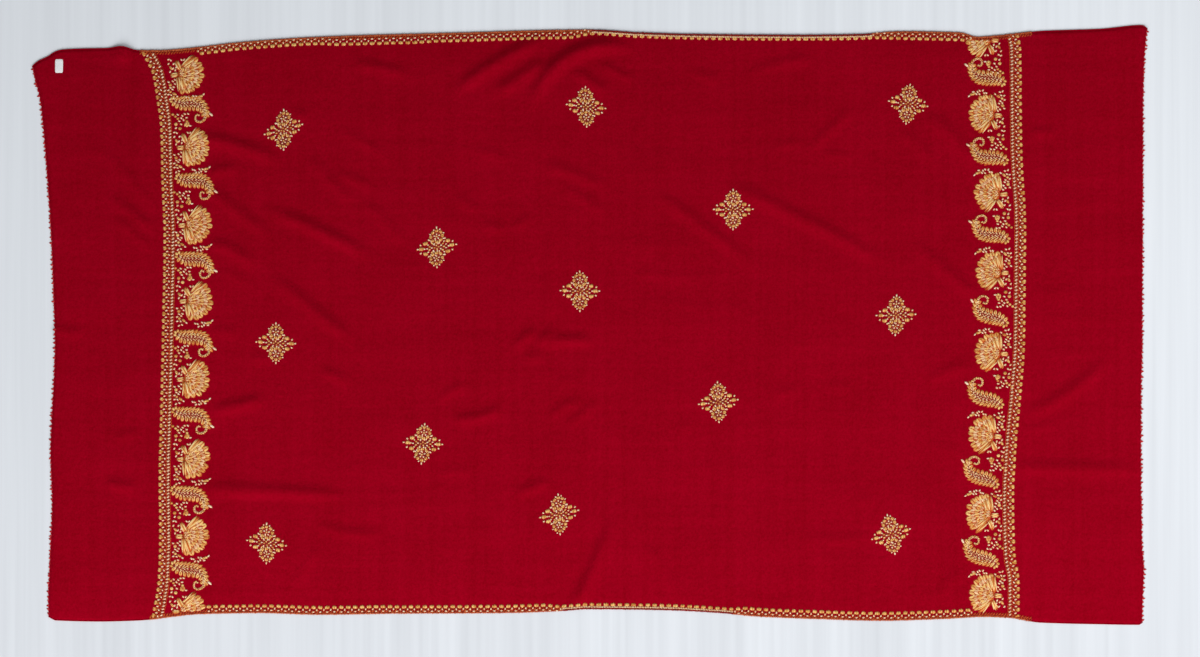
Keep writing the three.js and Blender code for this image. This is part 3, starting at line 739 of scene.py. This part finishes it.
# How far in the discs of each long edge lie. The ends of a table are the ends of the whipped edge.
FAR_WORK = table("x inset", (-823, 11.8), (-500, 11.8), (-460, 15), (-320, 15.5), (-280, 14),
                 (-40, 14), (6, 7), (250, 7.6), (512, 7.6), (556, 12), (604, 13.3), (809, 13))
NEAR_WORK = table("x inset", (-805, 13.2), (-390, 13.4), (-330, 12.4), (-90, 12.4), (-50, 8.6),
                  (254, 8.6), (290, 13.3), (807, 13.6))
# Where each row of discs starts and ends, the stretch of it whose edge is rolled under, its pitch.
FAR_DISCS = (-716, 700), (4, 516), 13.0
NEAR_DISCS = (-703, 698), (-50, 262), 12.8


def along_edge(work, ends, rolled, pitch, edge, inward, name):
    """The whipped edge, the threads that cross behind it, seeds in pairs, and a row of discs. Where
    the edge is rolled under, a chain of cream stitches takes the place of the whipping."""
    x = np.linspace(work["x"][0], work["x"][-1], 700)
    line = stack(x, edge(x))[::inward]
    x = np.linspace(*ends, 600)
    inset = curve_through(work["x"], work["inset"])
    row = stack(x, edge(x) + inward * inset(x))[::inward]

    def is_rolled(rows):
        return (rows[:, 0] > rolled[0]) & (rows[:, 0] < rolled[1])

    open_work = join([
        run(line, 2.0, 5.2, 2.0, 1.5, "tan", 1.4, 74),
        run(line, 5.1, 8.4, 2.2, 1.2, "rust", 5.6, 50),
        run(line, 5.1, 8.4, 2.2, 1.1, "brown", 5.6, 128, 0.8),
        run(row, pitch, 5.6, 3.1, 1.9, "cream", -8.2, 4),
        run(row, pitch, 4.8, 3.2, 1.7, "cream", -4.6, 84, 1),
    ])
    rolled_work = join([
        run(line, 2.2, 4.6, 2.4, 1.9, "brown", 1.4, 80),
        run(line, 4, 5.4, 1.8, 2.1, "peach", 4.4, 6),
        run(line, 3, 4.6, 1.8, 2.3, "cream", 4.6, 74),
    ])
    edging = join([open_work[~is_rolled(open_work)], rolled_work[is_rolled(rolled_work)]])
    dress(embroider(f"{name}_edge_whipping", edging), "edge_thread")
    beads = join([
        # The wide brown stitch under each disc is painted shadow round it.
        run(row, pitch, 9, 9.4, 0.5, "brown", 0, 90),
        run(row, pitch, 9, 1.8, 0.8, "rust", -4, 52, 1),
        run(row, pitch, 9, 1.8, 0.8, "rust", -4, 128, 1),
        disc_run(row, pitch, 8, 8, 1.6, "gold", 0, 90),
        run(row, pitch, 2.6, 1.8, 1.7, "ochre", 0, 60),
    ])
    dress(embroider(f"{name}_edge_discs", beads), "gold_thread", f"disc_row_{name}")


along_edge(FAR_WORK, *FAR_DISCS, far_edge, -1, "far")
along_edge(NEAR_WORK, *NEAR_DISCS, near_edge, 1, "near")

# Flowers, paisleys and sprigs, each in its own millimetres.

# Rows of a flower's petals, the outer one first: how far out they stand, how many, from and to
# which direction in degrees, the size of one, and how high it lies.
PETALS = table("reach count first last length width height", (39.5, 9, -82, 40, 12, 10, 1.1),
               (31.5, 8, -74, 38, 11, 9.4, 1.35), (24, 7, -70, 42, 10.5, 8.6, 1.6),
               (17, 5, -62, 44, 10, 8, 1.85), (10.5, 4, -56, 50, 8.5, 6.6, 2.1), (5, 3, -50, 50, 7, 5, 2.3))
# A flower's petals stand nearer to the stalk by this share at this many degrees from its middle.
FAN, FAN_SIDE = 0.16, 80
# Leaves round a flower's stalk: from, to, width.
LEAVES = table("from_x from_y to_x to_y width", (7, 8, 24, 22, 6.5), (3, 9, 27, 34, 10),
               (2, -5, 11, -31, 7.5), (-4, -3, 1.5, -37, 8.5))
# Its calyx: three leaves.
CALYX = table("from_x from_y to_x to_y width", (2.5, 5, -7.5, 25.5, 8), (-2, -3, -18, -1, 7),
              (-2, 0.5, -17, -3, 6))
# How far the petals stand above the stalk's place, at each end.
PETALS_RISE = {"left": 1.2, "right": 3.6}
# The small work round each flower, from its stalk: of what kind, and then places and directions.
ROUND_FLOWER = (
    ("dot", (-23.8, 58.9, 0), (-18.8, 55.2, 0), (-14.4, 51.4, 0)), ("seed", (-14.4, 58.4, -45),
    (-6, 56.8, -45), (-1.8, 60, -20), (4, 60, -45), (-8.6, 52.6, -50), (-3.9, 49, -60), (1.4, 52.6, -10),
    (-12.3, 46.9, -30), (-8.6, 41.1, -35)), ("disc", (-18.1, 41.1, 0), (-10.7, 33.2, 0)),
    ("seed", (-18.1, 34.2, 45), (-20.7, 26.4, 20), (-16.5, 25.3, -50)), ("dot", (1.9, 46.9, 0)),
    ("leaf", (-0.2, 41.1, 60), (4.5, 41.6, 100)), ("dot", (2.4, 37.9, 0)), ("tip", (8.2, 37.9, 0)),
    ("seed", (3.5, 25.8, -50), (8.2, 25.8, 50), (-20.7, 18, 50), (-11.2, 18, 40)),
    ("leaf", (-16.5, 10.6, -60)), ("seed", (-17.5, 4.3, 60), (-12.3, 9.6, 60), (-6, 12.2, 40),
    (-7.6, 6.9, 70), (-20.7, -14.6, -30), (-12.8, -13.6, -40), (-8.6, -10.4, -50), (-9.1, -17.8, -40)),
    ("disc", (-17.5, -19.9, 0)), ("seed", (-17, -25.1, -30), (-11.2, -24.1, -35), (-13.3, -28.3, -30),
    (-20.7, -30.4, 20)), ("dot", (-16.5, -33, 0)), ("leaf", (-9.7, -36.9, -40)),
    ("seed", (-20.2, -37.9, 20), (-14.9, -38.5, -40), (-4, -41, -40), (-17.5, -46.3, 45),
    (-11.8, -44.8, -30), (12.4, -42.4, -45), (16.6, -43, -45), (18.7, -47.3, 55), (24.5, -47.3, -45),
    (28.2, -45.2, -70), (25, -40.9, -45), (30.3, -40.9, -45)), ("leaf", (35.5, -41.5, 20)),
    ("dot", (39.7, -40.2, 0)), ("tip", (36, -45.2, 10), (43.9, -37.3, 45)),
)
# A sprig: its upper and lower heads are rings of discs round seeds, its side arms three discs each.
HEAD_MIDDLE, HEAD_RING = 20, (10.6, 10.2)  # from a sprig's middle, and a ring's half width and height
HEAD_DISCS = 8
ARM_DISCS = table("x y", (20.5, 9.5), (28, 0.5), (20.5, -9.5))
ARM_SEEDS = table("x y angle", (35.5, 0.5, 0), (29.5, 7.6, 40), (29, -7.6, -40), (22.5, 0, 0),
                  (15, 15, 60), (15, -15, -60))
# Seeds and petals round a sprig's middle: how far out, how many, from which direction, and of what.
HEART_RINGS = (
    (3.6, 4, 10, 4.8, 3, "gold"), (7.6, 7, 24, 4.8, 3, "cream"), (11.8, 11, 0, 5.4, 3.4, "gold"),
    (15.6, 13, 15, 4.4, 2.9, "cream"),
)
# What each kind of small work is made of: length, width, height, tilt and thread of its stitches.
SMALL_WORK = {
    "seed": [(8.4, 2.2, 0.7, 56, "rust"), (5.6, 3.2, 1.6, 0, "cream")],
    "tip": [(6, 3.3, 1.6, 0, "cream")],
    # The wider brown stitch under each dot, disc and leaf is painted shadow round it.
    "dot": [(7, 6.4, 0.6, 0, "brown"), (5.8, 5.2, 1.5, 0, "gold")],
    "disc": [(9.4, 8.6, 0.6, 0, "brown"), (7.4, 6.8, 1.5, 0, "gold"), (3, 1.6, 1.8, 40, "ochre")],
    "leaf": [(11.5, 7, 0.7, 0, "brown"), (10, 5, 1.4, 8, "gold"), (7, 1.6, 1.7, 8, "rust")],
}
# The line through a paisley from its tip to the end of its curl, and half of its width there.
PAISLEY = table("x y half", (-36, 6.5, 3), (-27, 2.5, 9), (-15, 0, 13), (0, 0, 13.7), (11.5, -1, 13),
                (20.5, -7, 9.5), (26, -16, 6), (26.5, -25, 3.6), (22, -32, 2.8), (15.5, -34.2, 2.4),
                (9.4, -31.5, 2.2), (8.2, -25.5, 2.1), (12, -21.2, 1.9), (16, -22.8, 1.3))
PAISLEY_BODY = 8  # rows of the table that are the body, the rest being the curl


def small_work(x, y, angle, kind):
    """The stitches of one kind of small work at each place."""
    return join([
        stitches(x, y, np.asarray(angle) + tilt, length, width, height, name)
        for length, width, height, tilt, name in SMALL_WORK[kind]
    ])


def polar(reach, degrees):
    """Points at a distance from 0, 0 in a direction."""
    return reach * np.cos(np.radians(degrees)), reach * np.sin(np.radians(degrees))


def fan_share(angle):
    """1 straight ahead, falling with the square of the angle to 1 - FAN at FAN_SIDE."""
    return 1 - FAN * (angle / FAN_SIDE) ** 2


def flower():
    """Rows of petals like scales, the outer ones first, and then the leaves beside them."""
    parts = []
    for i, (reach, count, first, last, length, width, height) in enumerate(zip(*PETALS.values())):
        angle = np.linspace(first, last, int(count)) + rng.normal(0, 1.5, int(count))
        out = reach * fan_share(angle) + rng.normal(0, 0.7, int(count))
        colours = ("peach", "rose") if i % 2 else ("gold", "rust")
        parts.append(scales(*polar(out, angle), angle, length, width, height, *colours))
        between = (angle[1:] + angle[:-1]) / 2
        near = (reach - length * 0.4) * fan_share(between)
        parts.append(stitches(*polar(near, between), between + 25, 5, 1.8, height + 0.5, "straw"))
    parts += [leaf(*sizes) for sizes in zip(*LEAVES.values())]
    return join(parts)


def flower_ground():
    """Outline of the padding under a flower: the fan of its petals, wavy outside, and its stalk."""
    angle = np.radians(np.linspace(-84, 54, 29))
    reach = 37 + 1.5 * np.cos(angle * 24)
    fan = stack(reach * np.cos(angle), reach * np.sin(angle))
    return join([fan, [(10, 20), (0, 12), (-3, 4), (-3, -6)]])


def paisley_line():
    """Points along a paisley's middle line with half of its width there, smooth between the rows, and
    how many of them are its body."""
    steps = np.append(0, np.cumsum(np.hypot(np.diff(PAISLEY["x"]), np.diff(PAISLEY["y"]))))
    at = np.linspace(0, steps[-1], 90)
    line = [curve_through(steps, PAISLEY[key])(at) for key in ("x", "y", "half")]
    return line, round(steps[PAISLEY_BODY - 1] / steps[-1] * len(at))


def beside_line(x, y, half, share):
    """The line beside a paisley's middle line, a share of half of its width to the left."""
    dx, dy = np.gradient(x), np.gradient(y)
    length = np.hypot(dx, dy)
    return stack(x - share * half * dy / length, y + share * half * dx / length)


def paisley():
    """A row of scales along each side, slanted stitches and a chain of seeds between them, a curl
    and a bud."""
    (x, y, half), last = paisley_line()

    def along(share, first, end, *sizes):
        return run(beside_line(x, y, half, share)[first:end], *sizes)

    upper = along(0.74, 4, last, 7.2, 1, 1, 1, "gold", 0, 50)
    lower = along(-0.72, 3, last, 7.8, 1, 1, 1, "gold", 0, -80)
    parts = [
        scales(*upper[:, :3].T, 11.4, 5.2, 1.5, "gold", "rust"),
        scales(*lower[:, :3].T, 9.6, 6.0, 1.5, "gold", "rust"),
        along(0.3, 5, last, 5.6, 6.2, 2.2, 1.9, "gold", 0, 24),
        along(-0.26, 5, last, 5.6, 6.2, 2.2, 1.9, "peach", 0, -30),
        along(0.44, 6, last, 6.4, 5, 2.3, 2.1, "straw", 0, 40, 0.2),
        along(-0.4, 5, last, 6.4, 5, 2.3, 2.1, "straw", 0, -50, 0.3),
        along(0, 5, last, 5.4, 5.2, 2.3, 2.1, "peach", 0, 30),
        along(0.14, 5, last, 7.4, 5.4, 1.8, 2.2, "cream", 0, -30, 0.2),
        # A low brown ground under the curl, painted shade at its edges.
        along(0, last - 4, None, 2.9, 4.6, 6, 0.7, "brown", 0, 90),
        along(0.4, last - 4, None, 3.4, 4.2, 2.6, 1.6, "gold", 0, 24),
        along(-0.4, last - 4, None, 3.4, 4.2, 2.4, 1.5, "peach", 0, -20),
        along(0.1, last - 2, None, 5, 4, 1.4, 2, "straw", 0, 10),
        stitches(36.5, -20.5, -36, 11, 4.6, 1.7, "cream"),
        stitches([-35, -36, -31], [8.5, 3.5, 11.5], [120, 160, 80], 7.4, 5, 1.6, "gold"),
    ]
    return join(parts)


def paisley_ground():
    """Outline of the padding under a paisley's body."""
    (x, y, half), last = paisley_line()
    left, right = (beside_line(x, y, half, share)[1:last - 6:3] for share in (0.8, -0.8))
    return join([left, right[::-1]])


def ring(count, start=0.0):
    """Directions in degrees, equally spaced round a circle."""
    return start + np.arange(int(count)) * 360 / int(count)


def sprig():
    """Rings of seeds round the middle, two heads and two arms, over brown stitches that show in the gaps as
    painted shade.
    """
    # The brown ground shows between the stitches as painted shade.
    parts = [stitches(0, 0, [0, 45, 90, 135], [46, 30, 30, 30], 12, 0.5, "brown")]
    for reach, count, start, length, width, name in HEART_RINGS:
        angle = ring(count, start)
        x, y = polar(reach, angle)
        parts += [
            stitches(x * 1.15, y * 0.92, angle + 50, 6, 1.5, 1.0, "rust"),
            stitches(x * 1.15, y * 0.92, angle, length, width, 1.6, name),
        ]
    for side in (1, -1):
        middle = side * HEAD_MIDDLE
        angle = ring(HEAD_DISCS, 90 * side)
        x, y = HEAD_RING[0] * np.cos(np.radians(angle)), HEAD_RING[1] * np.sin(np.radians(angle))
        inner, centre = ring(5, 18), np.array([[0], [middle]])
        between = angle + 180 / HEAD_DISCS
        rim_seeds = np.array(polar(13.6, between)) + centre
        parts += [
            # A brown ground under the head, painted shade in its gaps.
            stitches(0, middle, [0, 60, 120], 27, 14, 0.6, "brown"),
            discs(x, y + middle, angle, 7.4, 5.8, 1.6, "gold"),
            stitches(x, y + middle, angle + 10, 5, 1.0, 1.9, "rust"),
            stitches(*rim_seeds, between, 4, 2.8, 1.6, "cream"),
            stitches(*(np.array(polar(4.6, inner)) + centre), inner, 4.6, 3, 1.6, "cream"),
            stitches(0, middle, 40, 4.4, 3.6, 1.7, "gold"),
            stitches(0, side * 36, 90, 6, 3.2, 1.6, "cream"),
        ]
        x, y = side * ARM_DISCS["x"], ARM_DISCS["y"]
        seed_x, seed_y, tilt = side * ARM_SEEDS["x"], ARM_SEEDS["y"], side * ARM_SEEDS["angle"]
        parts += [
            # A brown stitch under each arm disc, painted shadow round it.
            stitches(x, y, 45, 10.5, 9.5, 0.6, "brown"),
            discs(x, y, 90, 8.6, 8.4, 1.6, "gold"),
            stitches(seed_x, seed_y, tilt + 56, 7, 2.2, 0.7, "rust"),
            stitches(seed_x, seed_y, tilt, 4.6, 3.3, 1.6, "cream"),
        ]
    return join(parts)


def node_box(node):
    """Lowest and highest corners of a CAD node, in millimetres."""
    return np.array(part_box(node)) / MM


# From a corner of a CAD node's box at the left end to a flower's stalk, or a paisley's middle: from
# the upper left corner where it goes down, and from the lower left one where it goes up.
ROOM = {"flower": (18.2, -34), "paisley": (34, 33.4)}
ENDS = {"left": 0, "right": 180}
# How far each paisley of an end is turned, in degrees, and then how far it is moved left and up.
PAISLEY_TURNS = {"left": (0, 0, -1, -1, -2, -4, -6), "right": (-4, -2, -5, -13, -12, -15, -14)}
PAISLEY_SLIPS = {"left": (0, 0, 0, 0, 0, 0, 0), "right": (0, 0, 4, 4, 3, 4, 4)}
FLOWERS_IN = {"left": 0, "right": 1.5}  # how far the flowers of an end are moved left
EDGE_ROOM, WORK_ROOM = 7, 14  # flowers and the small work keep this far inside the long edges
PADDING = 0.7  # height of the padding under flowers and paisleys
FLOWER_MIDDLE = np.array([(14.0, -2.0)])  # of the padding, from a flower's stalk
PAISLEY_MIDDLE = np.array([(0.0, -1.0)])  # and from the middle of a paisley's body


def spots(kind, count, end):
    """Where each flower or paisley of an end stands, worked out from its CAD node's box. The right
    end is the left one turned by half a turn."""
    room_x, room_y = ROOM[kind]
    side = 0 if end == "left" else 1
    level = side if room_y > 0 else 1 - side
    sign = 1 - 2 * side
    boxes = [node_box(f"{kind}_{end}_{i}") for i in range(1, count + 1)]
    return [(box[side, 0] + sign * room_x, box[level, 1] + sign * room_y) for box in boxes]


def work_end(end, turn):
    """The flowers and paisleys of one end, the small work round them and the padding below them."""
    small, petals, grounds, dark, curls = [], [], [], [], []
    for x, y in spots("flower", 8, end):
        x -= FLOWERS_IN[end]
        petals.append(on_the_cloth(moved(flower(), x, y + PETALS_RISE[end], turn), EDGE_ROOM))
        calyx = join([leaf(*sizes, 1.8) for sizes in zip(*CALYX.values())])
        petals.append(on_the_cloth(moved(calyx, x, y, turn), EDGE_ROOM))
        small += [moved(small_work(*place, kind), x, y, turn)
                  for kind, *places in ROUND_FLOWER for place in places]
        outline = carried(flower_ground(), x, y + PETALS_RISE[end], turn)
        outline[:, 1] = np.clip(outline[:, 1], near_edge(outline[:, 0]) + EDGE_ROOM,
                                far_edge(outline[:, 0]) - EDGE_ROOM)
        middle = carried(FLOWER_MIDDLE, x, y, turn)[0]
        middle[1] = np.clip(middle[1], outline[:, 1].min() + 1, outline[:, 1].max() - 1)
        grounds.append(patch(outline, middle, PADDING))
    dress(embroider(f"{end}_flowers", join(petals)), "peach_thread",
          *[f"flower_{end}_{i}" for i in range(1, 9)])
    for (x, y), more, slip in zip(spots("paisley", 7, end), PAISLEY_TURNS[end], PAISLEY_SLIPS[end]):
        x, y = x - slip, y + slip
        curls.append(moved(paisley(), x, y, turn + more))
        dark.append(patch(carried(paisley_ground(), x, y, turn + more),
                          carried(PAISLEY_MIDDLE, x, y, turn + more)[0], PADDING))
    dress(embroider(f"{end}_paisleys", join(curls)), "peach_thread",
          *[f"paisley_{end}_{i}" for i in range(1, 8)])
    # The padding is raised; its rust and brown show in the gaps between stitches as painted shade.
    dress(join_patches(f"{end}_padding", grounds, THREADS["rust"]), "peach_thread")
    dress(join_patches(f"{end}_dark_padding", dark, THREADS["brown"]), "peach_thread")
    seeds = on_the_cloth(join(small), WORK_ROOM)
    dress(embroider(f"{end}_small_work", seeds), "peach_thread")


for end, turn in ENDS.items():
    work_end(end, turn)

# Turns of each sprig's side arms and of its upright arms, in degrees.
SPRIG_TURNS = ((15, 0), (-6, 2), (-8, -6), (0, 0), (8, 0), (-1, 0), (2, -2), (-3, 0), (7, 2), (-3, -5),
               (11, 3), (15, 11), (-8, 0))
scattered = []
for i, turns in enumerate(SPRIG_TURNS, 1):
    x, y, _ = node_box(f"sprig_{i}").mean(axis=0)
    scattered.append(moved(sprig(), x, y, *turns))
dress(embroider("field_sprigs", join(scattered)), "gold_thread",
      *[f"sprig_{i}" for i in range(1, len(SPRIG_TURNS) + 1)])

# The label.

TAPE = 0.6  # thickness of the label
LABEL_ROUND = 0.25  # how round its corners are, as a share of its shorter side


def label_finish():
    """Smooth white tape with a fine rib across it."""
    finish = Finish("label_tape", Roughness=0.5, Specular_IOR_Level=0.5)
    cloudy = finish.noise((300, 300, 300))
    finish.feed("Base Color", finish.mix(cloudy, srgb(250, 250, 250), srgb(255, 255, 255)))
    finish.feed("Normal", finish.relief(finish.along("Y", (1, 9000, 1)).wave(), 0.00008))
    return finish.material


low_corner, high_corner = node_box("corner_label")[:, :2]
turn = np.linspace(0, 2 * np.pi, 48, endpoint=False)
circle = stack(np.cos(turn), np.sin(turn))
square = np.sign(circle) * np.abs(circle) ** LABEL_ROUND
label_middle = (low_corner + high_corner) / 2
label_points, label_faces = patch(label_middle + square * (high_corner - low_corner) / 2, label_middle, TAPE)
label = make_piece("corner_label_tape", label_points, label_faces, [label_finish()])
dress(label, "label_cloth", "corner_label")

# The table.

bpy.ops.mesh.primitive_plane_add(size=12, location=(0, 0, -0.0002))
floor = bpy.context.object
floor.name = "table_top"
plain = Finish("pale_table", Roughness=0.9, Specular_IOR_Level=0.1)
grain = plain.noise((70, 1.1, 1), 4.0) * 0.5 + plain.noise((9, 0.7, 1)) * 0.4 + 0.1
# The table's colour darkens towards the near side, where the lamps stand: painted shade that evens out their
# light there.
painted_shade_near_side = plain.along("Y", (1, 0.49, 1))
plain.feed("Base Color", plain.mix(grain + painted_shade_near_side, srgb(197, 200, 205), srgb(238, 242, 247)))
floor.data.materials.append(plain.material)
